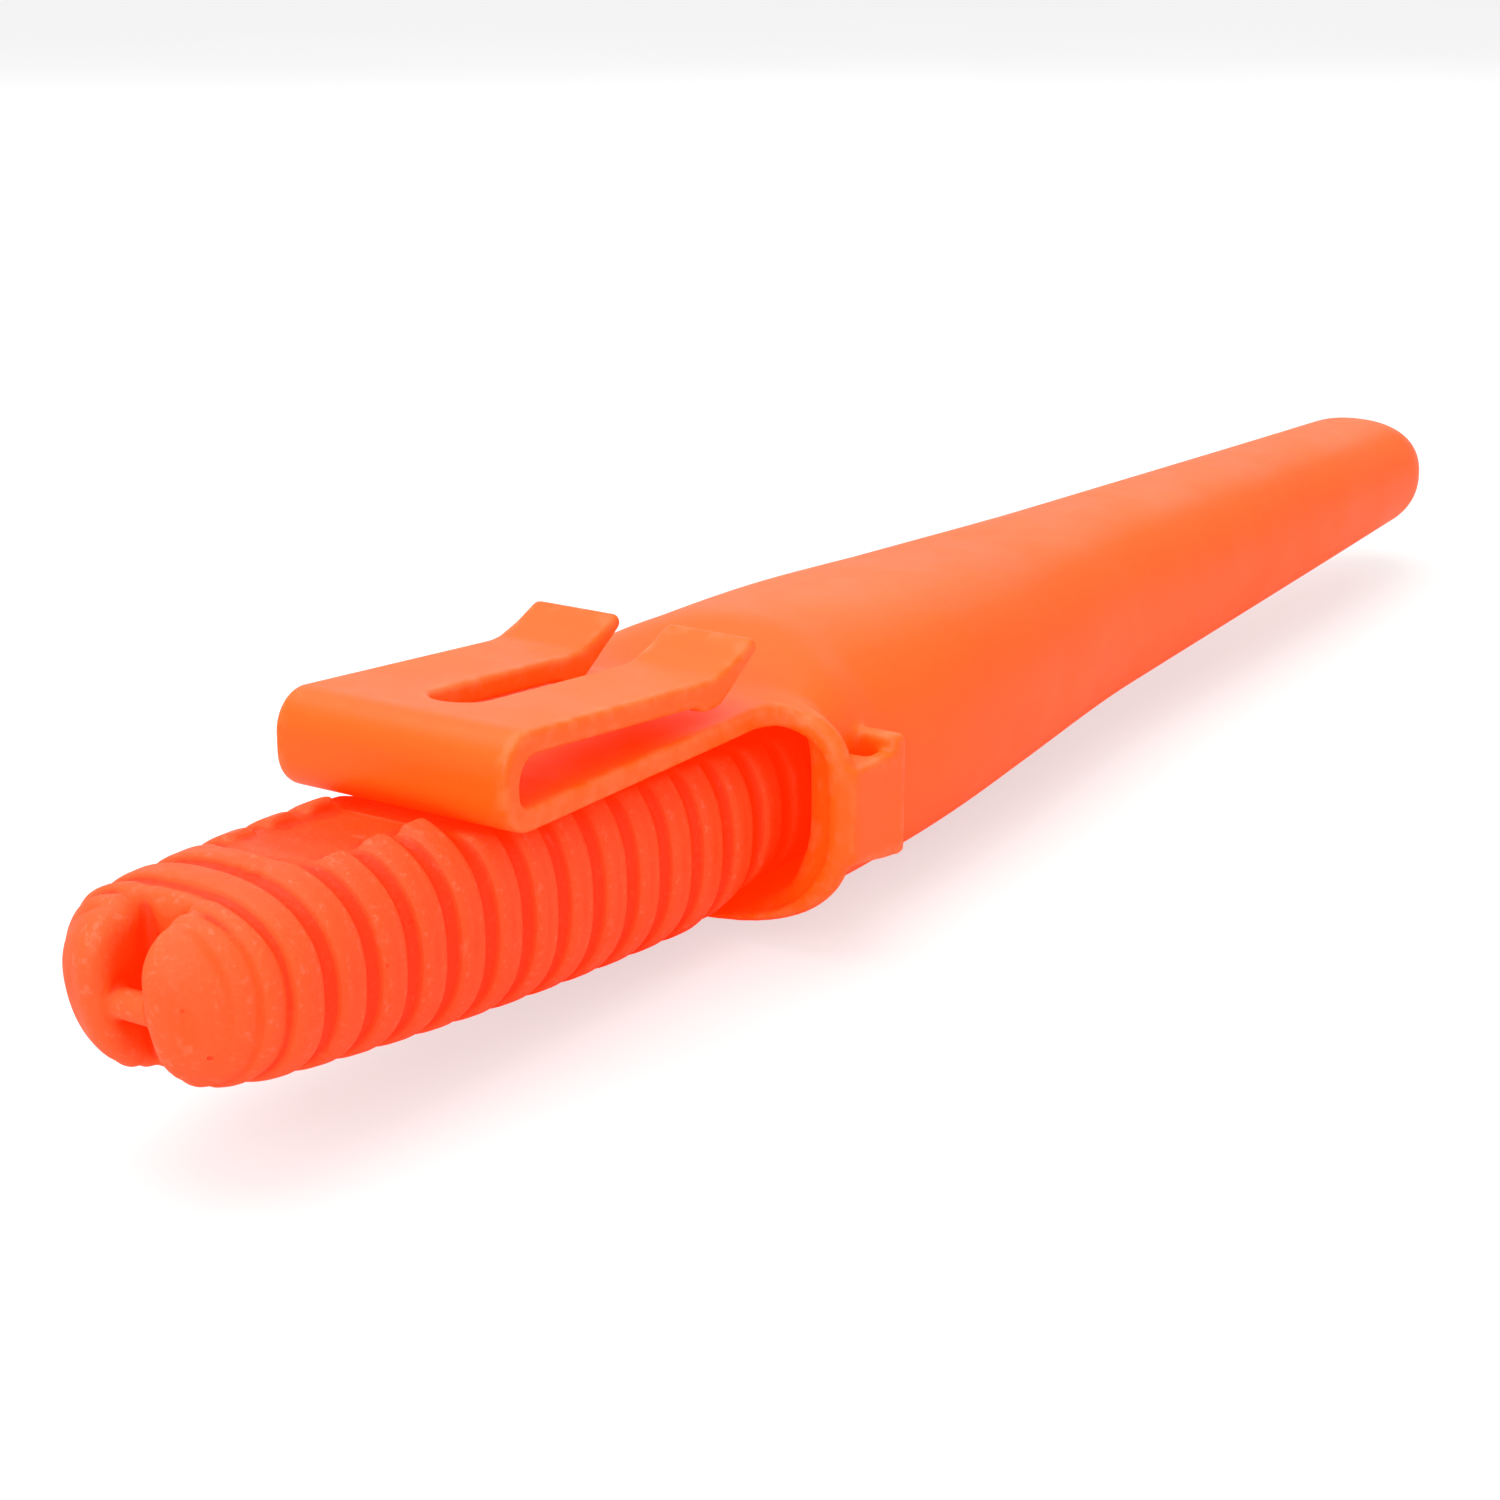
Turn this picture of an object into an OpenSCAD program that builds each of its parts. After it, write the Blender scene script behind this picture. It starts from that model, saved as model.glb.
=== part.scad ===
// Floating rescue knife in its sheath.
// Frame: X runs along the knife towards the tip of the sheath and Z points up to the belt clip.
// The origin is where a belt sits: on top of the clip's tongue, halfway between bend and barbs.
// Inside the modules, lengths are counted from the mouth of the sheath, on the sheath's axis,
// and in_frame() moves each finished node to the origin.

/* [Sheath] */
// Length from the mouth to the tip
sheath_length = 190.7; // [175:0.1:205]
// Width of the handle pocket, outside
pocket_width = 37; // [36.4:0.1:38]
// Height of the handle pocket, outside
pocket_height = 30.6; // [30.2:0.1:31.5]
// Width of the blade shield where it starts
shield_width = 26.4; // [26:0.1:27.5]
// Height of the blade shield where it starts
shield_height = 23.5; // [23.2:0.1:25]
// Width of the blade shield just before its rounded tip
tip_width = 20.6; // [20:0.1:22]
// Height of the blade shield just before its rounded tip
tip_height = 16.2; // [15:0.1:18]
// Wall thickness of the sheath and of the clip strip
wall = 2.4; // [2.2:0.1:2.5]
// Outside width of the flared mouth
mouth_width = 44.8; // [44:0.1:45.4]

/* [Belt clip] */
// Width of the tongue and of the clip
clip_width = 27.3; // [26:0.1:28]
// Height of the underside of the tongue above the axis
tongue_z = 9.1; // [9.1:0.1:9.4]
// Width of the slot between the two prongs
slot_width = 5.8; // [5:0.1:6.5]

/* [Handle] */
// Spacing of the grip ribs
rib_pitch = 5.5; // [5.5:0.1:5.6]
// Depth of the valleys between the ribs
rib_depth = 0.85; // [0.5:0.05:1]
// Width of the grip
grip_width = 24.7; // [24:0.1:25.5]
// Width of the slot in the butt
butt_slot = 4.4; // [4:0.1:5]
// Diameter of the lanyard bar
bar_d = 3.3; // [3:0.1:3.5]

/* [Blade] */
// Length of the blade in front of the guard
blade_length = 122; // [110:1:124]
// Width of the blade
blade_width = 17.6; // [16:0.1:18]
// Thickness of the blade
blade_t = 2; // [1.5:0.1:2.5]

/* [Hidden] */

sheath_orange = [1.0, 0.45, 0.20];
handle_orange = [1.0, 0.29, 0.10];
steel = [0.75, 0.76, 0.78];

// ---- shared maths ------------------------------------------------------------------------

function mix(a, b, t) = a + (b - a) * t;
function clamp01(t) = min(max(t, 0), 1);
// 0 before a, 1 after b, with level ends
function smooth(a, b, x) = let (t = clamp01((x - a) / (b - a))) t * t * (3 - 2 * t);
function signed_pow(v, e) = sign(v) * pow(abs(v), e);

// One closed ring of points in the plane at x: a superellipse with its own half height and
// exponent above and below its middle line.
function ring(x, half_w, mid_z, up, down, m_up, m_down, count) = [
    for (i = [0 : count - 1])
        let (t = 360 * (i + 0.5) / count, c = cos(t), s = sin(t), m = s >= 0 ? m_up : m_down)
        [x, half_w * signed_pow(c, 2 / m), mid_z + (s >= 0 ? up : down) * signed_pow(s, 2 / m)]
];

// Solid skinned over a list of rings that all have the same number of points.
module loft(rings) {
    count = len(rings[0]);
    last = len(rings) - 1;
    sides = [
        for (k = [0 : last - 1]) for (i = [0 : count - 1])
            let (j = (i + 1) % count, a = k * count + i, b = a + count)
            let (c = (k + 1) * count + j, d = k * count + j)
            for (face = [[a, b, c], [a, c, d]]) face
    ];
    start_cap = [for (i = [0 : count - 1]) i];
    end_cap = [for (i = [count - 1 : -1 : 0]) last * count + i];
    polyhedron(points = [for (r = rings) each r], faces = concat([start_cap], sides, [end_cap]));
}

belt_x = -26;                 // where a belt sits, counted from the mouth

module in_frame() {
    translate([-belt_x, 0, -(tongue_z + wall)]) children();
}

// ---- sheath ------------------------------------------------------------------------------

nose = 12;                    // length of the rounded tip
shield_x = 95;                // where the pocket has finished narrowing into the shield
nose_x = sheath_length - nose;
mouth_mid_z = -1;             // middle line of the mouth
mouth_top_z = tongue_z + wall;
mouth_bottom_z = 14.3;        // depth of the lip below the axis
lip_floor = 1.4;              // thickness of the lip under the handle
droop = 0.5;                  // how far the tip hangs below the axis
ring_points = 40;

// Straight taper of the blade shield, from its start to its nose
function taper(start, end, x) = mix(start, end, (x - shield_x) / (nose_x - shield_x));
// 1 in the pocket and 0 in the shield, which is reached sooner in height than in width
function wide_share(x) = 1 - smooth(28, 90, x);
function high_share(x) = 1 - smooth(8, 55, x);
// 1 at the lip and 0 in the pocket
function mouth_share(x) = 1 - smooth(1.5, 5, x);
// 1 at the lip and 0 where the roof has risen to the pocket's full height
function roof_share(x) = 1 - smooth(1, 16, x);

function outer_half_w(x) =
    mix(taper(shield_width, tip_width, x), pocket_width, wide_share(x)) / 2
    + (mouth_width - pocket_width) / 2 * mouth_share(x);
function outer_half_h(x) =
    mix(taper(shield_height, tip_height, x), pocket_height, high_share(x)) / 2;

// A ring of the sheath, set in from the outside by inset, and by floor_inset underneath, scaled by k
function sheath_ring(x, inset, floor_inset, k) =
    let (mid = mouth_mid_z * roof_share(x), sag = droop * smooth(40, sheath_length, x))
    let (top = mix(outer_half_h(x), mouth_top_z, roof_share(x)))
    let (bottom = mix(outer_half_h(x), mouth_bottom_z, roof_share(x)))
    ring(x, (outer_half_w(x) - inset) * k, mid - sag, (top - mid - inset) * k,
         (bottom + mid - floor_inset) * k,
         mix(2.3, 4.6, roof_share(x)), mix(2.3, 2.5, roof_share(x)), ring_points);

function outer_ring(x, k) = sheath_ring(x, 0, 0, k);
function inner_ring(x, k) = sheath_ring(x, wall, mix(wall, lip_floor, roof_share(x)), k);

pocket_stations = [0, 1.5, 2.4, 3.3, 4.2, 5, 8, 12, 16, 24, 32, 40, 48, 56, 64, 72, 80, 88];
shield_stations = [96, 115, 135, 155, 170];
nose_angles = [0 : 15 : 75];

module sheath_outside() {
    loft(concat(
        [for (x = concat(pocket_stations, shield_stations)) outer_ring(x, 1)],
        [for (a = nose_angles) outer_ring(nose_x + nose * sin(a), cos(a))],
        [outer_ring(sheath_length, 0.1)]));
}

module sheath_inside() {
    loft(concat(
        [inner_ring(-1, 1)],
        [for (x = concat(pocket_stations, shield_stations)) if (x > 0) inner_ring(x, 1)],
        [for (a = nose_angles) inner_ring(nose_x + (nose - wall) * sin(a), cos(a))]));
}

module sheath_body() {
    in_frame() color(sheath_orange) difference() {
        sheath_outside();
        sheath_inside();
    }
}

// ---- belt clip ---------------------------------------------------------------------------

bend_r = 3.9;                 // outside corner radius of the U bend
bend_x = -39.7;               // centre of both corners of the bend
bend_back_x = bend_x - bend_r;
bend_low_z = tongue_z + bend_r;
bend_high_z = 14.9;
strip_top_z = bend_high_z + bend_r;
strip_fall = 0.084;           // fall of the upper strip per mm towards the tips
prong_x = -32.5;              // where the prongs leave the base
kink_x = -10.3;               // where the prongs turn up
tip_x = -2.8;
tip_z = 18.9;
barb_z = 13.15;               // underside of the barbs
barb_x = [-12.8, -11.7, -9];  // back of the barb, and start and end of its underside
tip_edge = [0.5, 1.4];        // how far the end face leans forward and reaches down at the tip
inner_r = bend_r - wall;
root_relief = 0.15;           // lets a prong flex down without running into the base

function strip_z(x) = strip_top_z - strip_fall * (x - bend_x);

module across(width) {
    rotate([90, 0, 0]) linear_extrude(height = width, center = true) children();
}

// Filled outline of the tongue, the bend and the root of the upper strip
module clip_outline() {
    translate([bend_x, bend_low_z]) circle(r = bend_r, $fn = 48);
    translate([bend_x, bend_high_z]) circle(r = bend_r, $fn = 48);
    translate([bend_back_x, bend_low_z]) square([2 * bend_r, bend_high_z - bend_low_z]);
    translate([bend_x, tongue_z]) square([-bend_x, wall]);
    polygon([[bend_x, tongue_z], [prong_x, tongue_z], [prong_x, strip_z(prong_x)],
             [bend_x, strip_top_z]]);
}

// Gap inside the bend
module clip_gap() {
    reach = prong_x + 1;
    translate([bend_x, bend_low_z]) circle(r = inner_r, $fn = 48);
    translate([bend_x, bend_high_z]) circle(r = inner_r, $fn = 48);
    translate([bend_x - inner_r, bend_low_z]) square([2 * inner_r, bend_high_z - bend_low_z]);
    polygon([[bend_x, tongue_z + wall], [reach, tongue_z + wall], [reach, strip_z(reach) - wall],
             [bend_x, strip_top_z - wall]]);
}

module clip_base() {
    in_frame() color(sheath_orange) difference() {
        across(clip_width) difference() {
            clip_outline();
            clip_gap();
        }
        translate([prong_x, 0, bend_high_z]) cylinder(r = slot_width / 2, h = 2 * bend_r, $fn = 48);
    }
}

module prong_profile() {
    polygon([[prong_x, strip_z(prong_x)], [kink_x, strip_z(kink_x)], [tip_x, tip_z],
             [tip_x + tip_edge[0], tip_z - tip_edge[1]], [barb_x[2], barb_z], [barb_x[1], barb_z],
             [barb_x[0], strip_z(barb_x[0]) - wall],
             [prong_x + root_relief, strip_z(prong_x) - wall]]);
}

// One prong: side is 1 for +Y and -1 for -Y
module prong(side) {
    prong_width = (clip_width - slot_width) / 2;
    in_frame() color(sheath_orange) translate([0, side * (slot_width + prong_width) / 2, 0])
        across(prong_width) prong_profile();
}

module clip_prong_left() {
    prong(1);
}

module clip_prong_right() {
    prong(-1);
}

// ---- cord loop ---------------------------------------------------------------------------

loop_out = 23;                // distance of the loop's outer face from the middle plane
loop_t = 2;                   // thickness of its outer plate
loop_x = [0.6, 6.2, 8.8, 10.9]; // start and end of its foot at the lip, then of its end wall
loop_low_z = -6.3;            // lowest edge
loop_height = 11.8;
end_wall_rise = 1.5;          // how far the end wall stands above the plate
sink = 2;                     // overlap with the sheath, cut back to its surface

// Block of the loop from start to end, reaching in from the outer face by depth
module loop_block(start, end, depth, height) {
    translate([start, -loop_out, loop_low_z]) cube([end - start, depth, height]);
}

module cord_loop() {
    in_frame() color(sheath_orange) difference() {
        union() {
            loop_block(loop_x[0], loop_x[3], loop_t, loop_height);
            loop_block(loop_x[0], loop_x[1], loop_t + sink, loop_height);
            loop_block(loop_x[2], loop_x[3], loop_out - pocket_width / 2 + sink,
                       loop_height + end_wall_rise);
        }
        sheath_outside();
    }
}

// ---- knife handle ------------------------------------------------------------------------

first_groove_x = -13 * rib_pitch;
rib_count = 17;
grip_points = 32;
butt_x = -80.3;               // end of the lobes
round_x = [-72, -76];         // where the lobes start to draw in, in width and in height
ring_x = [-75.8, -73.8];      // step and fine groove next to the butt
guard_x = [27, 33];           // guard, inside the pocket
guard_half = [15, 9.6];       // half width and half height of the guard
neck_half_w = 12.4;           // half width just behind the guard
edge = 0.5;                   // small step or chamfer
rise = 0.074;                 // rise of the handle's centre line per mm towards the butt
pocket_axis_z = -1.8;         // centre line of the part inside the pocket
pocket_half_h = 10.2;         // its half height

// Centre line: rises towards the butt, level inside the pocket
function handle_mid(x) = mix(-0.46 - rise * (x + 33), pocket_axis_z, smooth(-8, 4, x));
// Half height: a barrel, a little thinner towards the butt
function barrel(x) = let (u = (x + 33) / 33) 11.54 + 0.86 * u - 1.14 * u * u;
function handle_half_h(x) = mix(barrel(x), pocket_half_h, smooth(-8, 4, x));
// 1 along the grip, shrinking on a quarter ellipse from start, to end_share at the butt
function butt_scale(x, start, end_share) =
    x > start ? 1 : mix(end_share, 1, sqrt(1 - pow((start - x) / (start - butt_x), 2)));

// A ring of the handle, shrunk by depth
function handle_ring(x, depth) =
    let (half_h = (handle_half_h(x) - depth) * butt_scale(x, round_x[1], 0.6))
    ring(x, (grip_width / 2 - depth) * butt_scale(x, round_x[0], 0.45), handle_mid(x), half_h, half_h,
         2.4, 2.4, grip_points);

butt_stations = [butt_x, -80, -79.4, -78.3, -77, ring_x[0] - 0.3];
valley = [[0, 1], [0.2, 0.25], [0.5, 0], [0.8, 0.25]];

function guard_ring(x, half_w, half_h) =
    ring(x, half_w, pocket_axis_z, half_h, half_h, 2.6, 2.6, grip_points);

module handle_blank() {
    loft(concat(
        [for (x = butt_stations) handle_ring(x, edge)],
        [handle_ring(ring_x[0], 0)],
        [handle_ring(ring_x[1] - edge, 0), handle_ring(ring_x[1], edge), handle_ring(ring_x[1] + edge, 0)],
        [for (n = [0 : rib_count]) for (v = valley)
            if (n < rib_count || v[0] == 0)
                handle_ring(first_groove_x + (n + v[0]) * rib_pitch, rib_depth * v[1])],
        [guard_ring(guard_x[0] - 3, neck_half_w, guard_half[1]),
         guard_ring(guard_x[0], guard_half[0], guard_half[1]),
         guard_ring(guard_x[1] - 1, guard_half[0], guard_half[1]),
         guard_ring(guard_x[1], guard_half[0] - 1, guard_half[1] - 1)]));
}

panel = [-62.4, 10.73];       // start of the label panel, and its height there
panel_half_w = 5.1;
panel_r = 2.5;                // radius of its corners
relief = [-44, 9.05];         // start of the flat that clears the clip, and its height there

// Places its children on a flat that starts at x and z and falls with the handle's centre line
module on_flat(x, z) {
    translate([x, 0, z]) rotate([0, atan(rise), 0]) children();
}

module label_space() {
    corner_y = panel_half_w - panel_r;
    on_flat(panel[0], panel[1]) {
        for (side = [-1, 1]) translate([panel_r, side * corner_y, 0]) cylinder(r = panel_r, h = 10, $fn = 48);
        translate([0, -corner_y, 0]) cube([2 * panel_r, 2 * corner_y, 10]);
        translate([panel_r, -panel_half_w, 0]) cube([20, 2 * panel_half_w, 10]);
    }
}

module relief_space() {
    on_flat(relief[0], relief[1]) translate([0, -grip_width / 2, 0]) cube([60, grip_width, 10]);
}

slot_back_x = -73;            // bottom of the slot in the butt
bar_x = -76.9;
bar_z = handle_mid(bar_x);

module butt_slot_space() {
    translate([butt_x - 1, -butt_slot / 2, -20]) cube([slot_back_x - butt_x + 1, butt_slot, 40]);
}

tang_width = 12;
tang_back_x = -45;
blade_z = -1.5;
fit_gap = 0.05;               // clearance around the tang and in front of the guard
blade_x = guard_x[1] + fit_gap;

module tang(gap) {
    translate([tang_back_x - gap, -tang_width / 2 - gap, blade_z - blade_t / 2 - gap])
        cube([blade_x + 1 - tang_back_x, tang_width + 2 * gap, blade_t + 2 * gap]);
}

module knife_handle() {
    in_frame() color(handle_orange) difference() {
        handle_blank();
        label_space();
        relief_space();
        butt_slot_space();
        tang(fit_gap);
    }
}

module lanyard_bar() {
    in_frame() color(handle_orange) translate([bar_x, 0, bar_z]) rotate([90, 0, 0])
        cylinder(d = bar_d, h = butt_slot, center = true, $fn = 48);
}

// ---- blade -------------------------------------------------------------------------------

bevel_w = 4;
point_length = 24;
point_w = 5;                  // width of the blunt end
straight_length = blade_length - point_length;

// Distance from the blade's middle to the centres of the arcs that draw in to the point
point_centre =
    (pow(point_length, 2) + pow(point_w / 2, 2) - pow(blade_width / 2, 2)) / (blade_width - point_w);

// Outline of the blade from above: parallel edges, then two arcs that end in a blunt point
module blade_outline() {
    translate([0, -blade_width / 2]) square([straight_length, blade_width]);
    intersection() {
        translate([straight_length - 1, -blade_width / 2]) square([point_length + 1, blade_width]);
        intersection_for(side = [-1, 1])
            translate([straight_length, side * point_centre])
                circle(r = point_centre + blade_width / 2, $fn = 96);
    }
}

// Wedge that leaves one side of the cutting edge
module bevel_cut(side) {
    translate([-1, -blade_width / 2, 0]) rotate([side * atan(blade_t / 2 / bevel_w), 0, 0])
        translate([0, -1, side > 0 ? 0 : -4]) cube([blade_length + 2, bevel_w * 3, 4]);
}

module blade() {
    in_frame() color(steel) union() {
        translate([blade_x, 0, blade_z]) difference() {
            translate([0, 0, -blade_t / 2]) linear_extrude(height = blade_t) blade_outline();
            bevel_cut(1);
            bevel_cut(-1);
        }
        tang(0);
    }
}

// ---- nodes -------------------------------------------------------------------------------

sheath_body();
clip_base();
clip_prong_left();
clip_prong_right();
cord_loop();
knife_handle();
lanyard_bar();
blade();
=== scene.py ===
"""Looks of a floating rescue knife in its sheath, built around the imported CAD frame.

Both mouldings are drawn as fields of distances on a grid and then meshed, which gives them the soft
edges and fillets of moulded plastic. The sheath's moulding is cut into the sheath, the clip and two
prongs, and their surfaces meet at the cuts. Lengths are in millimetres, counted from the mouth of
the sheath on the sheath's axis: x runs towards the tip, and a field is below zero inside plastic.
"""
import math

import bmesh
import bpy
import numpy as np
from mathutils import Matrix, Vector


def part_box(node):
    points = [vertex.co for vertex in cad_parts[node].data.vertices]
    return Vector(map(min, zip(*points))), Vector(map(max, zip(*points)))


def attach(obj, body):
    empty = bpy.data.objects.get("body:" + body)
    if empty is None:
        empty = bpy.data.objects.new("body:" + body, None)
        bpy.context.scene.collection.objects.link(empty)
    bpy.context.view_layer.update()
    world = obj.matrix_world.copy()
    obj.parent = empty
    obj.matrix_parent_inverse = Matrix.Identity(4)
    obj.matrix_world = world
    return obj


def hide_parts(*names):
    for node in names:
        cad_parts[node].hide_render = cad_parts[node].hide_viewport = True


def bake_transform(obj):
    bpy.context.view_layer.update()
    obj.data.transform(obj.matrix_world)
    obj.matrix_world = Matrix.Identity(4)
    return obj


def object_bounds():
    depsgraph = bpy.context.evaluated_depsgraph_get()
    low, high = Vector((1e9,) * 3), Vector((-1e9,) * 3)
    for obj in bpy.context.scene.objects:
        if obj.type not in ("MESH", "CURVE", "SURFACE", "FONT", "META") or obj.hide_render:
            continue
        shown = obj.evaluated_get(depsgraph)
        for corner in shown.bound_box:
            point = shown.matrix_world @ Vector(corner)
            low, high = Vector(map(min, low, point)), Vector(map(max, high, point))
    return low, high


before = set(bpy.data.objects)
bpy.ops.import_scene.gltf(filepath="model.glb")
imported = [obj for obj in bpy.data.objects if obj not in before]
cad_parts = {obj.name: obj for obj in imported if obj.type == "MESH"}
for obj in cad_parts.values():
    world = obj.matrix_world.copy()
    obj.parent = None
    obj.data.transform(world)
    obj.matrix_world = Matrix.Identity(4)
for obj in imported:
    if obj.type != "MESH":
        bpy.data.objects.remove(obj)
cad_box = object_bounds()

import openvdb
from mathutils import Vector

MM = 0.001
MOUTH_MID_Z, MOUTH_TOP_Z, MOUTH_LOW_Z = -1, 11.5, -13.8
SHEATH_LOW, SHEATH_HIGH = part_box("sheath_body")
MOUTH = Vector((SHEATH_LOW.x, 0, -MOUTH_TOP_Z * MM))
SHEATH_LENGTH = (SHEATH_HIGH.x - SHEATH_LOW.x) / MM
MOUTH_WIDTH = (SHEATH_HIGH.y - SHEATH_LOW.y) / MM

WALL = 2.4
LIP_FLOOR = 1.1                   # thickness of the lip under the handle
LIP_FLOOR_DEPTH = (6, 12)         # the wall thins to that between these depths below the axis
LIP_X = (1.5, 5)                  # the flare of the lip fades out here
ROOF_X = (1, 16)                  # the mouth's flat roof fades into the pocket here
POCKET = (37, 30.6)               # outside width and height of the handle pocket
NARROW_X = (28, 90)               # the pocket's width falls to the shield's here
LOWER_X = (8, 55)                 # and its height here
SHIELD = (26.4, 23.5)             # width and height of the blade shield at SHIELD_X
SHIELD_X = 95
TIP = (20.6, 16.2)                # the same before its rounded tip
SHIELD_POWER, ROOF_POWER, LIP_POWER = 2.3, 4.6, 2.5         # how square each section is
NOSE = 12                         # length of the rounded tip
NOSE_X = SHEATH_LENGTH - NOSE
DROOP = 0.5                       # how far the tip hangs below the axis
DROOP_X = (40, SHEATH_LENGTH)
LIP_R, LIP_INNER_R = 1.2, 0.7     # radii of the mouth's edges
SHEATH_BOX = ((-6, -26.5, -19.5), (193.5, 25, 22.5))

CLIP_HALF_W = 13.65
TONGUE_Z = 9.1
BEND_R = 3.9
BEND_X = -39.7
BEND_Z = (13.0, 14.9)             # heights of the centres of the bend's two outer corners
STRIP_TOP_Z = BEND_Z[1] + BEND_R
STRIP_FALL = 0.084                # the upper strip slopes down by this much towards its tips
PRONG_X = (-32.5, -1)             # where the prongs start, and a place past their tips
PRONG_FLOOR_Z = 12.5              # everything of the clip above this, ahead of the roots, is a prong
PRONG_TIP = ((-6.4, 17.35), (-2.8, 18.9), (-2.3, 17.5))
BARB = ((-8.6, 13.4), (-9.3, 13.15), (-11.5, 13.15), (-12.3, 13.5), (-13.2, 14.0))
KINK_X = -10.3                    # the strip turns up here
SLOT_HALF_W = 2.9
CLIP_R = 0.5
CLIP_PLAN_R = 3.2                 # curve between the tongue's sides and the face of the lip
SEAM_X = -4                       # the clip's finer skin takes over from the sheath's here
CLIP_BOX = ((-46, -15, 7), (-0.6, 15, 21.5))

LOOP_OUT = 23                     # how far the loop stands out from the axis
LOOP_IN = 17                      # every part of the loop starts inside the sheath's wall
LOOP_T = 2
LOOP_R, LOOP_FILLET = 0.8, 0.6
LOOP_X = (0.6, 6.2, 8.8, 10.9)    # start of the loop, both sides of its eye, and its end
LOOP_LOW_Z = (-4.6, -6.3)         # lower edge at the lip and at the end wall
LOOP_HIGH_Z = (5.5, 7.0)          # upper edge of the plate and of the end wall

GRIP_HALF_W = 12.35
GRIP_POWER = 2.4
GRIP_X = -33                      # the grip's middle, which its sizes are counted from
GRIP_MID_Z = -0.46
GRIP_HALF_H = (11.54, 0.86, -1.14)          # half height there, then its slope and curve forwards
RISE = 0.074                      # slope of the grip, up towards the butt
FRONT_X = (-8, 4)                 # the grip turns into its level front part here
FRONT_MID_Z, FRONT_HALF_H = -1.8, 10.2
LOBE_X = (-77, -71)               # the lobes of the butt are set lower from here back
LOBE_DROP = 0.9
RIB_PITCH = 5.5
RIB_DEPTH = 0.85
RIB_COUNT = 16
RIB_WALL = (0.08, 0.28)           # a valley's wall, in pitches from the middle of the valley
FIRST_GROOVE_X = -66
BUTT_X = -80.3
BUTT_R = 4.6
BUTT_CURVE = (0.042, 0.030)       # how fast the lobes fall back to the sides, and downwards
BUTT_HIGH_Z = 5                   # height at which the lobes reach furthest back
BUTT_STEP = 0.15                  # the lobes are this much slimmer behind the first ring
BUTT_SLOT = (2.2, -73)            # half width, and where it ends
BUTT_SLOT_R = 2.4
# place, depth and width of the grooves around the butt
RINGS = ((-75.8, 0.32, 0.3), (-73.7, 0.5, 0.45), (-71, 0.8, 0.8))
BAR_X, BAR_R = -76.9, 1.4
BAR_IN = 1.5                      # how far the bar's ends reach into the lobes
BAR_FILLET = 0.5
PANEL = (-62.4, 10.73)            # start of the label panel, and its height there
PANEL_HALF_W = 5.1
PANEL_R, PANEL_EDGE_R = 2.5, 0.25           # radii of its corners and of its edge
RELIEF = (-44, 9.05)              # start of the flat that clears the clip, and its height there
RELIEF_EDGE_R = 0.4
GATE = (-64.7, -2.2, 1.1)         # mark of the moulding gate on top: centre and radius
GATE_GROOVE = (0.3, 0.35)         # its depth and width
GUARD_X = (27, 33)
GUARD_HALF = (15, 9.6)            # half its width and height
GUARD_POWER, GUARD_R, GUARD_FILLET = 2.6, 0.8, 1.2
# painted light: the butt end is painted paler, the front left darker as in the clip's shadow
PAINTED_LIGHT_X = -50                      # the handle is paler from here back to the butt
HANDLE_BOX = ((-85, -16.5, -17), (35.5, 16.5, 17))

SHEATH_STEP = 0.4
CLIP_STEP = 0.18
HANDLE_STEP = 0.3
SHEATH_SOFT, HANDLE_SOFT = 0.3, 0.22        # how round the sharpest edges are
FAR = 4                                     # distances beyond this don't matter to a surface
EDGE_REACH = 0.9                            # width of the stretch that counts as an edge

FLOOR_HALF_M = 3.0
WORLD_STRENGTH = 0.42
CAMERA_AZIMUTH, CAMERA_ELEVATION = math.radians(-56.757), math.radians(17.698)
CAMERA_DISTANCE_M, CAMERA_LENS = 0.33, 75.9
CAMERA_AIM = MOUTH + Vector((8.2, -5.6, 2.8)) * MM


# ---- shared maths ------------------------------------------------------------------------------

def mix(a, b, t):
    return a + (b - a) * t


def smooth(a, b, x):
    """0 before a, 1 after b, with level ends."""
    t = np.clip((x - a) / (b - a), 0, 1)
    return t * t * (3 - 2 * t)


def round_max(a, b, r):
    """Overlap of two solids, its edges rounded to radius r."""
    return np.minimum(np.maximum(a, b) + r, 0) + np.hypot(np.maximum(a + r, 0), np.maximum(b + r, 0)) - r


def round_min(a, b, r):
    """Union of two solids, with fillets of radius r where they meet."""
    return -round_max(-a, -b, r)


def box_field(g, low, high):
    """Block from low to high."""
    sides = [np.abs(v - (a + b) / 2) - (b - a) / 2 for v, a, b in zip((g.x, g.y, g.z), low, high)]
    return np.maximum(np.maximum(sides[0], sides[1]), sides[2])


def superellipse(y, z, power):
    """1 on the outline, 0 in the middle."""
    return (np.abs(y) ** power + np.abs(z) ** power) ** (1 / power)


def arc(cx, cz, r, start, end, count=14):
    """Points of an arc in the x z plane, from start to end in degrees."""
    return [(cx + r * math.cos(math.radians(a)), cz + r * math.sin(math.radians(a)))
            for a in np.linspace(start, end, count)]


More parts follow.
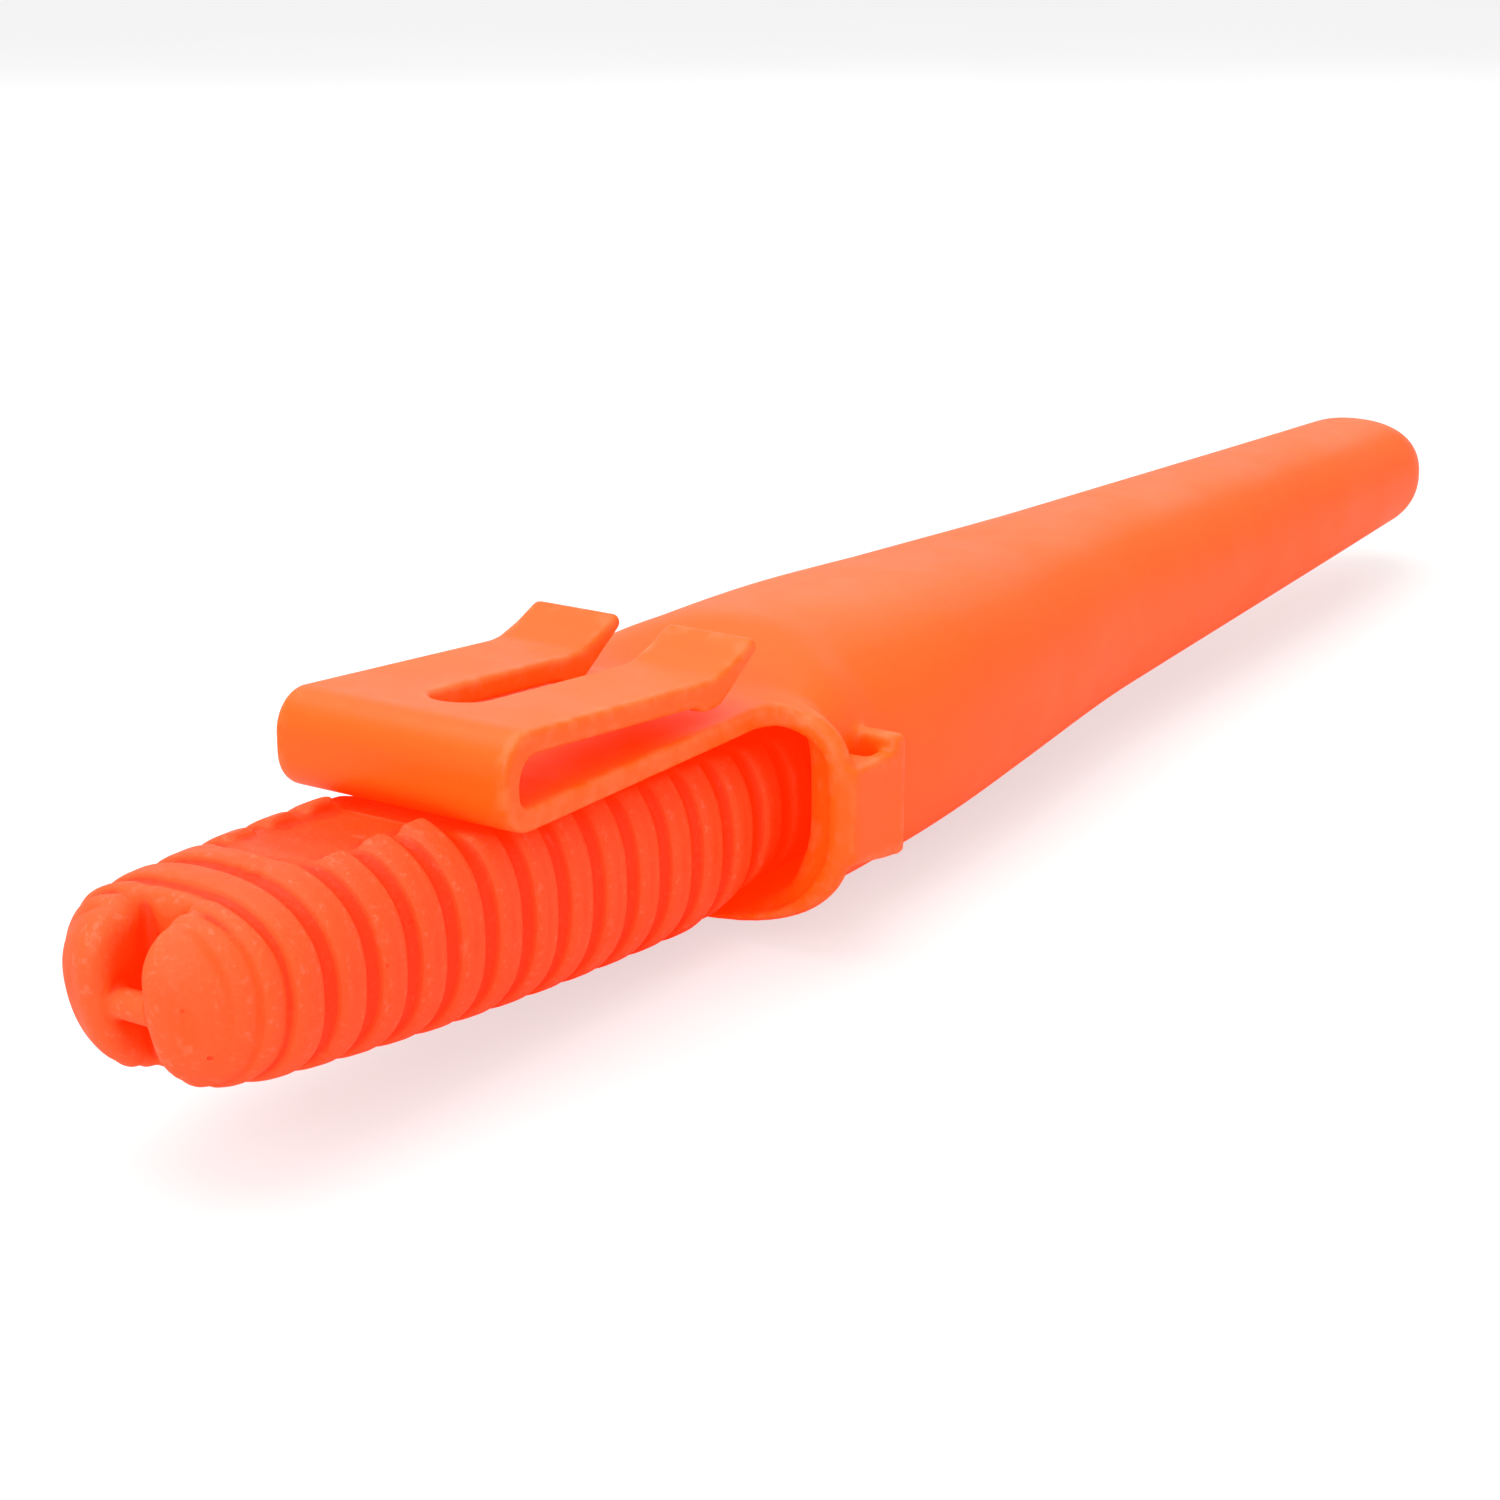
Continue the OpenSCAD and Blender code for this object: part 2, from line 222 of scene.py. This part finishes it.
class Grid:
    """A box of evenly spaced points in millimetres."""

    def __init__(self, low, high, step):
        self.low, self.step = np.array(low, float), step
        axes = [np.arange(a, b + step, step, dtype=np.float32) for a, b in zip(low, high)]
        self.shape = tuple(len(axis) for axis in axes)
        self.x, self.y, self.z = axes[0][:, None, None], axes[1][None, :, None], axes[2][None, None, :]

    def distance(self, level):
        """Turns a field of any slope that is zero on a surface into distances from that surface."""
        level = np.broadcast_to(level, self.shape).astype(np.float32)
        slope = np.sqrt(sum(g * g for g in np.gradient(level, self.step)))
        return level / np.maximum(slope, 1e-3)

    def soften(self, field, radius):
        """Rounds every edge and corner by about radius."""
        field = np.clip(field, -FAR, FAR)
        reach = int(math.ceil(2.5 * radius / self.step))
        weights = np.exp(-0.5 * (np.arange(-reach, reach + 1) * self.step / radius) ** 2)
        weights /= weights.sum()
        for axis in range(3):
            field = sum(w * np.roll(field, k - reach, axis) for k, w in enumerate(weights))
        return field.astype(np.float32)

    def sample(self, field, points):
        """Values of field at points, by interpolation."""
        place = (points - self.low) / self.step
        base = np.clip(np.floor(place).astype(int), 0, np.array(field.shape) - 2)
        part = place - base
        total = np.zeros(len(points))
        for corner in np.ndindex(2, 2, 2):
            weight = np.prod(np.where(corner, part, 1 - part), axis=1)
            i, j, k = (base + corner).T
            total += weight * field[i, j, k]
        return total

    def relax(self, points, quads, rounds=6):
        """Evens out the grid's steps: each round smooths, then swells back by as much."""
        start, end = quads.ravel(), np.roll(quads, -1, axis=1).ravel()
        count = np.maximum(np.bincount(start, minlength=len(points)), 1)[:, None]
        for factor in (0.5, -0.52) * rounds:
            total = [np.bincount(start, points[end, axis], len(points)) for axis in range(3)]
            points = points + factor * (np.stack(total, axis=1) / count - points)
        return points

    def skin(self, name, field):
        """Mesh object of the surface where field is zero. Its 'edge' attribute is above zero on
        convex edges and below zero in corners."""
        band = 3 * self.step
        volume = openvdb.FloatGrid(band)
        volume.copyFromArray(np.clip(field, -band, band).astype(np.float32))
        points, quads = volume.convertToQuads(0.0)
        points = self.relax(self.low + points * self.step, quads)
        edge = self.sample(self.soften(field, EDGE_REACH), points)
        mesh = bpy.data.meshes.new(name)
        mesh.vertices.add(len(points))
        mesh.vertices.foreach_set("co", (points * MM + np.array(MOUTH)).astype(np.float32).ravel())
        mesh.loops.add(quads.size)
        mesh.loops.foreach_set("vertex_index", quads.astype(np.int32).ravel())
        mesh.polygons.add(len(quads))
        mesh.polygons.foreach_set("loop_start", np.arange(0, quads.size, 4, dtype=np.int32))
        mesh.update(calc_edges=True)
        mesh.validate()
        mesh.attributes.new("edge", "FLOAT", "POINT").data.foreach_set("value", edge.astype(np.float32))
        mesh.shade_smooth()
        return add_object(name, mesh)


def add_object(name, data):
    obj = bpy.data.objects.new(name, data)
    bpy.context.scene.collection.objects.link(obj)
    return obj


# ---- sheath ------------------------------------------------------------------------------------

def sheath_outside(g):
    """Closed solid in the sheath's outer shape: a superellipse whose size and power change with x."""
    x = np.clip(g.x, 0, None)
    along = (x - SHIELD_X) / (NOSE_X - SHIELD_X)
    wide, high = 1 - smooth(*NARROW_X, x), 1 - smooth(*LOWER_X, x)
    lip, roof = 1 - smooth(*LIP_X, x), 1 - smooth(*ROOF_X, x)
    half_w = mix(mix(SHIELD[0], TIP[0], along), POCKET[0], wide) / 2
    half_w = half_w + (MOUTH_WIDTH - POCKET[0]) / 2 * lip
    half_h = mix(mix(SHIELD[1], TIP[1], along), POCKET[1], high) / 2
    mid = MOUTH_MID_Z * roof
    up, down = mix(half_h, MOUTH_TOP_Z, roof) - mid, mix(half_h, -MOUTH_LOW_Z, roof) + mid
    z = g.z - mid + DROOP * smooth(*DROOP_X, x)
    power = np.where(z > 0, mix(SHIELD_POWER, ROOF_POWER, roof), mix(SHIELD_POWER, LIP_POWER, roof))
    radial = superellipse(g.y / half_w, z / np.where(z > 0, up, down), power)
    nose = np.clip((g.x - NOSE_X) / NOSE, 0, None)
    return g.distance(np.hypot(radial, nose) - 1)


def strip_z(x):
    """Height of the top of the clip's upper strip."""
    return STRIP_TOP_Z - STRIP_FALL * (x - BEND_X)


def clip_outline():
    """Side view of the clip: tongue, bend, upper strip, turned-up tips, barb and the way back."""
    left = BEND_X - BEND_R + WALL
    upper_r = 2.4
    return (
        [(0.5, TONGUE_Z)]
        + arc(BEND_X, BEND_Z[0], BEND_R, 270, 180)
        + arc(BEND_X, BEND_Z[1], BEND_R, 180, 90)
        + [(KINK_X - 0.8, strip_z(KINK_X - 0.8)), (KINK_X + 0.8, strip_z(KINK_X) + 0.12)]
        + list(PRONG_TIP + BARB)
        + arc(left + upper_r, BEND_Z[0] + 0.9, upper_r, 90, 180)
        + arc(BEND_X, BEND_Z[0], BEND_R - WALL, 180, 270)
        + [(0.5, TONGUE_Z + WALL)]
    )


def outline_field(g, outline):
    """Distance in the x z plane from a closed outline."""
    x, z = g.x[:, :, 0], g.z[0]
    best, inside = np.full((x.shape[0], z.shape[1]), 1e9), np.zeros((x.shape[0], z.shape[1]), bool)
    for (x0, z0), (x1, z1) in zip(outline, outline[1:] + outline[:1]):
        dx, dz = x1 - x0, z1 - z0
        t = np.clip(((x - x0) * dx + (z - z0) * dz) / (dx * dx + dz * dz), 0, 1)
        best = np.minimum(best, np.hypot(x - x0 - t * dx, z - z0 - t * dz))
        if dz:
            inside ^= ((z0 > z) != (z1 > z)) & (x < x0 + (z - z0) * dx / dz)
    return np.where(inside, -best, best)[:, None, :].astype(np.float32)


def clip_field(g):
    """Belt clip with its slot, and a tongue that widens into the lip."""
    into = np.clip(g.x + CLIP_PLAN_R, 0, CLIP_PLAN_R)
    widen = (CLIP_PLAN_R - np.sqrt(np.maximum(CLIP_PLAN_R ** 2 - into ** 2, 0))) * (g.z < PRONG_FLOOR_Z)
    field = round_max(outline_field(g, clip_outline()), np.abs(g.y) - CLIP_HALF_W - widen, CLIP_R)
    slot = np.where(g.x > PRONG_X[0], np.abs(g.y), np.hypot(g.x - PRONG_X[0], g.y)) - SLOT_HALF_W
    slot = np.maximum(slot, PRONG_FLOOR_Z - g.z)
    return round_max(field, -slot, CLIP_R)


def loop_field(g):
    """Outer plate and two walls, with the eye between them."""
    parts = ((LOOP_X[0], LOOP_X[3], LOOP_T - LOOP_OUT, LOOP_HIGH_Z[0]),
             (LOOP_X[0], LOOP_X[1], -LOOP_IN, LOOP_HIGH_Z[0]),
             (LOOP_X[2], LOOP_X[3], -LOOP_IN, LOOP_HIGH_Z[1]))
    blocks = [box_field(g, (start, -LOOP_OUT, LOOP_LOW_Z[1]), (end, inner, top))
              for start, end, inner, top in parts]
    slope = mix(LOOP_LOW_Z[0], LOOP_LOW_Z[1], (g.x - LOOP_X[0]) / (LOOP_X[3] - LOOP_X[0]))
    return round_max(np.minimum(np.minimum(blocks[0], blocks[1]), blocks[2]), slope - g.z, LOOP_R)


def sheath_field(g):
    """Hollow shell, open at the mouth, with the clip and the cord loop on it."""
    outside = sheath_outside(g)
    thin = (1 - smooth(*ROOF_X, g.x)) * smooth(*LIP_FLOOR_DEPTH, -g.z)
    walls = round_max(outside, -g.x, LIP_R)
    shell = round_max(walls, -(outside + mix(WALL, LIP_FLOOR, thin)), LIP_INNER_R)
    shell = np.minimum(shell, clip_field(g))
    loop = np.maximum(loop_field(g), -(outside + WALL / 2))
    return round_min(shell, loop, LOOP_FILLET)


def is_prong(c):
    """Whether a point in metres belongs to a prong of the clip."""
    return c.z > MOUTH.z + PRONG_FLOOR_Z * MM and PRONG_X[0] * MM < c.x - MOUTH.x < PRONG_X[1] * MM


def slice_at(bm, x, above_floor):
    """Cuts the faces near x, either above or below the height where the prongs start."""
    place, near = MOUTH.x + x * MM, 3 * MM
    faces = [f for f in bm.faces
             if (f.calc_center_median().z > MOUTH.z + PRONG_FLOOR_Z * MM) == above_floor
             and abs(f.calc_center_median().x - place) < near]
    parts = set(faces) | {e for f in faces for e in f.edges} | {v for f in faces for v in f.verts}
    bmesh.ops.bisect_plane(bm, geom=list(parts), plane_co=(place, 0, 0), plane_no=(1, 0, 0), dist=1e-7)


def keep_part(bm, name, belongs):
    """Object of the faces whose middle passes the test, closed with flat caps where it was cut."""
    part = bm.copy()
    outside = [f for f in part.faces if not belongs(f.calc_center_median())]
    bmesh.ops.delete(part, geom=outside, context="FACES")
    rim = [e for e in part.edges if e.is_boundary]
    caps = bmesh.ops.holes_fill(part, edges=rim, sides=0)["faces"]
    for cap in caps:
        cap.smooth = False
        for e in cap.edges:
            e.smooth = False
    bmesh.ops.recalc_face_normals(part, faces=caps)
    mesh = bpy.data.meshes.new(name)
    part.to_mesh(mesh)
    part.free()
    return add_object(name, mesh)


# ---- handle ------------------------------------------------------------------------------------

def handle_mid(x):
    """Height of the handle's own axis."""
    lobes = LOBE_DROP * (1 - smooth(*LOBE_X, x))
    return mix(GRIP_MID_Z - RISE * (x - GRIP_X), FRONT_MID_Z, smooth(*FRONT_X, x)) - lobes


def handle_half_h(x):
    u = (x - GRIP_X) / -GRIP_X
    grip = GRIP_HALF_H[0] + GRIP_HALF_H[1] * u + GRIP_HALF_H[2] * u * u
    return mix(grip, FRONT_HALF_H, smooth(*FRONT_X, x))


def rib_valleys(x):
    """Depth of the grip's surface at x: flat crests, rounded valleys and the rings at the butt."""
    turn = (x - FIRST_GROOVE_X) / RIB_PITCH
    off = np.abs(turn - np.round(turn))
    valley = RIB_DEPTH * (1 - smooth(*RIB_WALL, off))
    valley = valley * ((turn > -0.5) & (turn < RIB_COUNT + 0.5))
    step = BUTT_STEP * (1 - smooth(RINGS[0][0] - 0.5, RINGS[0][0] + 0.3, x))
    grooves = sum(depth * np.exp(-((x - place) / width) ** 2) for place, depth, width in RINGS)
    return valley + step + grooves


def handle_field(g):
    """Grip with its panel, butt and bar, and the guard at its front."""
    mid = handle_mid(g.x)
    level = superellipse(g.y / GRIP_HALF_W, (g.z - mid) / handle_half_h(g.x), GRIP_POWER) - 1
    grip = g.distance(level) + rib_valleys(g.x)
    end = BUTT_X + BUTT_CURVE[0] * g.y ** 2 + BUTT_CURVE[1] * np.clip(BUTT_HIGH_Z - g.z, 0, None) ** 2
    grip = round_max(grip, end - g.x, BUTT_R)
    grip = np.maximum(grip, g.x - GUARD_X[1])

    # ring left by the moulding gate
    gate = np.hypot(g.x - GATE[0], g.y - GATE[1]) - GATE[2]
    grip = grip + GATE_GROOVE[0] * np.exp(-(gate / GATE_GROOVE[1]) ** 2) * (g.z > handle_mid(GATE[0]))

    # flat panel for a label, with a rounded start, and a lower flat that clears the clip
    above = g.z - PANEL[1] + RISE * (g.x - PANEL[0])
    plan = round_max(np.abs(g.y) - PANEL_HALF_W, PANEL[0] - g.x, PANEL_R)
    grip = round_max(grip, -np.maximum(plan, -above), PANEL_EDGE_R)
    above = g.z - RELIEF[1] + RISE * (g.x - RELIEF[0])
    grip = round_max(grip, np.minimum(g.x - RELIEF[0], above), RELIEF_EDGE_R)

    # slot in the butt, with a bar across it
    slot = np.maximum(np.abs(g.y) - BUTT_SLOT[0], g.x - BUTT_SLOT[1])
    grip = round_max(grip, -slot, BUTT_SLOT_R)
    bar = np.hypot(g.x - BAR_X, g.z - handle_mid(BAR_X)) - BAR_R
    bar = np.maximum(bar, np.abs(g.y) - BUTT_SLOT[0] - BAR_IN)
    grip = round_min(grip, bar, BAR_FILLET)

    # guard, hidden in the pocket
    y, z = g.y / GUARD_HALF[0], (g.z - FRONT_MID_Z) / GUARD_HALF[1]
    guard = g.distance(superellipse(y, z, GUARD_POWER) - 1)
    guard = round_max(guard, np.maximum(GUARD_X[0] - g.x, g.x - GUARD_X[1]), GUARD_R)
    return g.soften(round_min(grip, guard, GUARD_FILLET), HANDLE_SOFT)


# ---- materials ---------------------------------------------------------------------------------

class Nodes:
    """Short way to write a node material."""

    def __init__(self, name):
        self.material = bpy.data.materials.new(name)
        self.material.use_nodes = True
        self.tree = self.material.node_tree
        self.tree.nodes.clear()
        self.out = self.add("ShaderNodeOutputMaterial")
        self.place = self.add("ShaderNodeTexCoord").outputs["Object"]

    def add(self, kind, inputs=None, **settings):
        node = self.tree.nodes.new(kind)
        for key, value in settings.items():
            setattr(node, key, value)
        for key, value in (inputs or {}).items():
            if isinstance(value, bpy.types.NodeSocket):
                self.tree.links.new(value, node.inputs[key])
            else:
                node.inputs[key].default_value = value
        return node

    def noise(self, scale, detail=3.0, roughness=0.5, stretch=(1, 1, 1)):
        mapped = self.add("ShaderNodeMapping", {"Vector": self.place, "Scale": stretch})
        return self.add("ShaderNodeTexNoise", {
            "Vector": mapped.outputs[0], "Scale": scale, "Detail": detail, "Roughness": roughness,
        }).outputs["Fac"]

    def remap(self, value, low, high, to_low=0.0, to_high=1.0):
        """Value, eased from the first range into the second."""
        return self.add("ShaderNodeMapRange", {
            "Value": value, "From Min": low, "From Max": high, "To Min": to_low, "To Max": to_high,
        }, interpolation_type="SMOOTHSTEP").outputs[0]

    def math(self, operation, a, b):
        return self.add("ShaderNodeMath", {0: a, 1: b}, operation=operation).outputs[0]

    def blend(self, share, a, b):
        """Colour a where share is 0, b where it is 1."""
        return self.add("ShaderNodeMix", {0: share, 6: a, 7: b}, data_type="RGBA").outputs[2]

    def tinge(self, colour, tint, strength, share):
        """Colour with tint mixed in, up to strength where share is 1."""
        return self.blend(self.math("MULTIPLY", share, strength), colour, tint)

    def bump(self, height, distance, strength, base=None):
        """Normal for bumps on top of the base normal. Distances are in metres."""
        inputs = {"Height": height, "Distance": distance, "Strength": strength}
        if base is not None:
            inputs["Normal"] = base
        return self.add("ShaderNodeBump", inputs).outputs[0]

    def finish(self, inputs):
        """Material with a principled shader."""
        shader = self.add("ShaderNodeBsdfPrincipled", inputs)
        self.tree.links.new(shader.outputs[0], self.out.inputs["Surface"])
        return self.material


def edge_share(n, low, high):
    """0 below low and 1 above high of the mesh's 'edge' attribute."""
    return n.remap(n.add("ShaderNodeAttribute", attribute_name="edge").outputs["Fac"], low, high)


def painted_shade_share(n):
    """1 in places closed in by plastic within a centimetre: the share of painted shade there, a deep red
    as of light trapped in the plastic.
    """
    return n.remap(n.add("ShaderNodeAmbientOcclusion", {"Distance": 9 * MM}).outputs["AO"], 0.62, 0.12)


def glow(n, strength):
    """Emission strength for the camera, with only a share of it left to light other things."""
    seen = n.add("ShaderNodeLightPath").outputs["Is Camera Ray"]
    return n.remap(seen, 0, 1, 0.15 * strength, strength)


def sheath_plastic():
    """Waxy, slightly see-through polyethylene."""
    n = Nodes("orange_polyethylene")
    cloud = n.remap(n.noise(28, 2.0), 0.3, 0.7)
    colour = n.blend(cloud, (1.0, 0.145, 0.006, 1), (1.0, 0.160, 0.009, 1))
    worn = n.math("MULTIPLY", edge_share(n, 0.14, 0.30), n.remap(n.noise(500, 4.0, 0.6), 0.42, 0.62))
    colour = n.tinge(colour, (1.0, 0.36, 0.16, 1), 0.22, worn)
    painted_shade = painted_shade_share(n)
    # painted shade: deeper, darker red and less shine where plastic closes in
    colour = n.tinge(colour, (0.85, 0.030, 0.001, 1), 0.65, painted_shade)
    flow = n.noise(300, 3.0, 0.55, (0.12, 1, 1))
    grain = n.noise(2600, 2.0, 0.6)
    normal = n.bump(flow, 0.00005, 0.5)
    normal = n.bump(grain, 0.00003, 0.35, normal)
    rough = n.remap(n.noise(90, 4.0, 0.6), 0.3, 0.7, 0.36, 0.45)
    return n.finish({
        "Base Color": colour, "Roughness": rough, "Normal": normal, "IOR": 1.5,
        "Subsurface Weight": 0.45, "Subsurface Radius": (1.0, 0.32, 0.12), "Subsurface Scale": 0.003,
        "Specular IOR Level": n.remap(painted_shade, 0, 1, 0.36, 0.04),
        # painted glow: red emission keeps the plastic a full red even where it is in shade
        "Emission Color": (1.0, 0.028, 0.0, 1), "Emission Strength": glow(n, 0.75),
    })


def handle_plastic():
    """Matt foamed plastic with frosty grain, pinholes and whitened scuffs."""
    n = Nodes("red_orange_foam")
    cloud = n.remap(n.noise(120, 4.0, 0.6), 0.35, 0.65)
    colour = n.blend(cloud, (1.0, 0.052, 0.003, 1), (1.0, 0.062, 0.004, 1))
    along = n.add("ShaderNodeSeparateXYZ", {"Vector": n.place}).outputs[0]
    # painted light: paler towards the butt, away from the clip's shadow
    painted_butt_light = n.remap(along, MOUTH.x + PAINTED_LIGHT_X * MM, MOUTH.x + BUTT_X * MM)
    colour = n.blend(painted_butt_light, colour, (1.0, 0.105, 0.014, 1))
    # painted shade: the rib valleys and other hollows are painted a darker, deeper red
    colour = n.tinge(colour, (1.0, 0.026, 0.002, 1), 0.8, edge_share(n, 0.0, -0.12))
    # painted highlight: the rib crests and other convex edges are painted lighter
    colour = n.tinge(colour, (1.0, 0.150, 0.045, 1), 0.5, edge_share(n, 0.02, 0.12))
    frost = n.remap(n.noise(1500, 3.0, 0.7), 0.52, 0.72)
    colour = n.tinge(colour, (1.0, 0.20, 0.09, 1), 0.14, frost)
    streak = n.remap(n.noise(700, 3.0, 0.6, (1, 0.35, 0.35)), 0.63, 0.75)
    worn = n.math("MULTIPLY", edge_share(n, 0.08, 0.22), n.remap(n.noise(1300, 4.0, 0.6), 0.54, 0.66))
    scuffs = n.math("MAXIMUM", n.math("MULTIPLY", streak, 0.8), worn)
    colour = n.tinge(colour, (1.0, 0.42, 0.28, 1), 0.18, scuffs)
    cells = n.add("ShaderNodeTexVoronoi", {"Vector": n.place, "Scale": 330}).outputs["Distance"]
    pits = n.math("MULTIPLY", n.remap(cells, 0.10, 0.05), n.remap(n.noise(150, 2.0), 0.52, 0.62))
    colour = n.tinge(colour, (0.55, 0.02, 0.002, 1), 0.7, pits)
    painted_shade = painted_shade_share(n)
    # painted shade: deeper, darker red and less shine where plastic closes in
    colour = n.tinge(colour, (0.85, 0.012, 0.0, 1), 0.8, painted_shade)
    lumps = n.noise(420, 3.0, 0.55)
    grain = n.noise(2100, 3.0, 0.65)
    normal = n.bump(lumps, 0.00022, 0.6)
    normal = n.bump(grain, 0.00012, 0.7, normal)
    normal = n.bump(n.math("MULTIPLY", pits, -1.0), 0.0003, 0.8, normal)
    rough = n.remap(n.noise(300, 4.0, 0.6), 0.3, 0.7, 0.46, 0.60)
    return n.finish({
        "Base Color": colour, "Roughness": rough, "Normal": normal, "IOR": 1.48,
        "Subsurface Weight": 0.12, "Subsurface Radius": (1.0, 0.25, 0.1), "Subsurface Scale": 0.0015,
        "Specular IOR Level": n.remap(painted_shade, 0, 1, 0.28, 0.04),
        # painted glow: red emission keeps the plastic a full red even where it is in shade
        "Emission Color": (1.0, 0.022, 0.0, 1), "Emission Strength": glow(n, 0.75),
    })


def blade_steel():
    """Brushed stainless steel, brushed across the blade."""
    n = Nodes("brushed_steel")
    brush = n.noise(900, 4.0, 0.6, (1.0, 0.02, 1.0))
    colour = n.blend(n.remap(brush, 0.35, 0.65), (0.50, 0.51, 0.53, 1), (0.62, 0.63, 0.65, 1))
    normal = n.bump(brush, 0.00002, 0.4)
    rough = n.remap(n.noise(200, 4.0, 0.6), 0.3, 0.7, 0.24, 0.36)
    return n.finish({
        "Base Color": colour, "Metallic": 1.0, "Roughness": rough, "Normal": normal, "Anisotropic": 0.5,
    })


def floor_paint():
    """Nearly white to the camera, but grey to the light, so that it doesn't brighten the model."""
    n = Nodes("pale_floor")
    colour = n.blend(n.remap(n.noise(6, 2.0), 0.3, 0.7), (0.50, 0.50, 0.50, 1), (0.52, 0.52, 0.52, 1))
    return n.finish({
        "Base Color": colour, "Roughness": 0.7,
        "Emission Color": (1, 1, 1, 1), "Emission Strength": glow(n, 0.62),
    })


def paint(obj, material):
    obj.data.materials.clear()
    obj.data.materials.append(material)


# ---- the pieces --------------------------------------------------------------------------------

def take_bmesh(obj):
    """The object's mesh, for cutting. The object itself goes."""
    bm = bmesh.new()
    bm.from_mesh(obj.data)
    bpy.data.objects.remove(obj)
    return bm


def build_sheath():
    seam = MOUTH.x + SEAM_X * MM
    g = Grid(*SHEATH_BOX, SHEATH_STEP)
    bm = take_bmesh(g.skin("sheath_whole", g.soften(sheath_field(g), SHEATH_SOFT)))
    slice_at(bm, SEAM_X, above_floor=False)
    body = keep_part(bm, "sheath_moulding", lambda c: c.x > seam and not is_prong(c))
    bm.free()

    g = Grid(*CLIP_BOX, CLIP_STEP)
    bm = take_bmesh(g.skin("clip_whole", g.soften(clip_field(g), SHEATH_SOFT)))
    slice_at(bm, SEAM_X, above_floor=False)
    slice_at(bm, PRONG_X[0], above_floor=True)
    clip = keep_part(bm, "clip_moulding", lambda c: c.x < seam and not is_prong(c))
    left = keep_part(bm, "prong_left_skin", lambda c: is_prong(c) and c.y > 0)
    right = keep_part(bm, "prong_right_skin", lambda c: is_prong(c) and c.y < 0)
    bm.free()

    plastic = sheath_plastic()
    for piece in (body, clip, left, right):
        paint(piece, plastic)
    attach(body, "sheath")
    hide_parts("sheath_body", "cord_loop")
    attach(clip, "sheath")
    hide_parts("clip_base")
    for piece, body_name in ((left, "prong_left"), (right, "prong_right")):
        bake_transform(piece)
        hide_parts("clip_" + body_name)


def build_handle():
    g = Grid(*HANDLE_BOX, HANDLE_STEP)
    handle = g.skin("handle_moulding", handle_field(g))
    paint(handle, handle_plastic())
    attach(handle, "knife")
    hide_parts("knife_handle", "lanyard_bar")


def finish_blade():
    """Steel and soft edges for the CAD blade, which is hidden at rest."""
    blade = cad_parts["blade"]
    paint(blade, blade_steel())
    soft = blade.modifiers.new("soft_edges", "BEVEL")
    soft.width, soft.segments, soft.limit_method = 0.15 * MM, 2, "ANGLE"


def point_at(obj, place, direction):
    """Puts a light or camera at place, looking along direction."""
    obj.location = place
    obj.rotation_mode = "QUATERNION"
    obj.rotation_quaternion = direction.to_track_quat("-Z", "Y")


def area_light(name, place, size, power):
    """Rectangular light at place, in metres from the middle of the model, turned towards it."""
    centre = (cad_box[0] + cad_box[1]) / 2
    light = bpy.data.lights.new(name, "AREA")
    light.shape, light.size, light.size_y = "RECTANGLE", size[0], size[1]
    light.energy = power
    place = centre + Vector(place)
    point_at(add_object(name, light), place, centre - place)


def build_stage():
    corners = [(x * FLOOR_HALF_M, y * FLOOR_HALF_M, 0) for x, y in ((-1, -1), (1, -1), (1, 1), (-1, 1))]
    mesh = bpy.data.meshes.new("floor")
    mesh.from_pydata(corners, [], [(0, 1, 2, 3)])
    model_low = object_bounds()[0]
    floor = add_object("floor", mesh)
    floor.location.z = model_low.z
    paint(floor, floor_paint())

    world = bpy.data.worlds.new("studio")
    bpy.context.scene.world = world
    world.use_nodes = True
    background = world.node_tree.nodes["Background"]
    background.inputs["Color"].default_value = (1, 1, 1, 1)
    background.inputs["Strength"].default_value = WORLD_STRENGTH
    area_light("top_softbox", (-0.1, 0.15, 0.8), (0.9, 0.9), 4.4)
    area_light("left_softbox", (-0.7, -0.1, 0.35), (0.5, 0.5), 2.0)
    area_light("back_softbox", (0.55, 0.45, 0.35), (1.0, 0.5), 0.8)
    area_light("front_strip", (0.25, -0.75, 0.12), (0.9, 0.12), 0.25)
    bpy.context.scene.view_settings.view_transform = "Standard"


def build_camera():
    level = math.cos(CAMERA_ELEVATION)
    back = Vector((math.sin(CAMERA_AZIMUTH) * level, -math.cos(CAMERA_AZIMUTH) * level,
                   math.sin(CAMERA_ELEVATION)))
    camera = add_object("camera", bpy.data.cameras.new("camera"))
    camera.data.lens, camera.data.sensor_width, camera.data.clip_start = CAMERA_LENS, 36, 0.01
    point_at(camera, CAMERA_AIM + back * CAMERA_DISTANCE_M, -back)
    bpy.context.scene.camera = camera


build_sheath()
build_handle()
finish_blade()
build_stage()
build_camera()
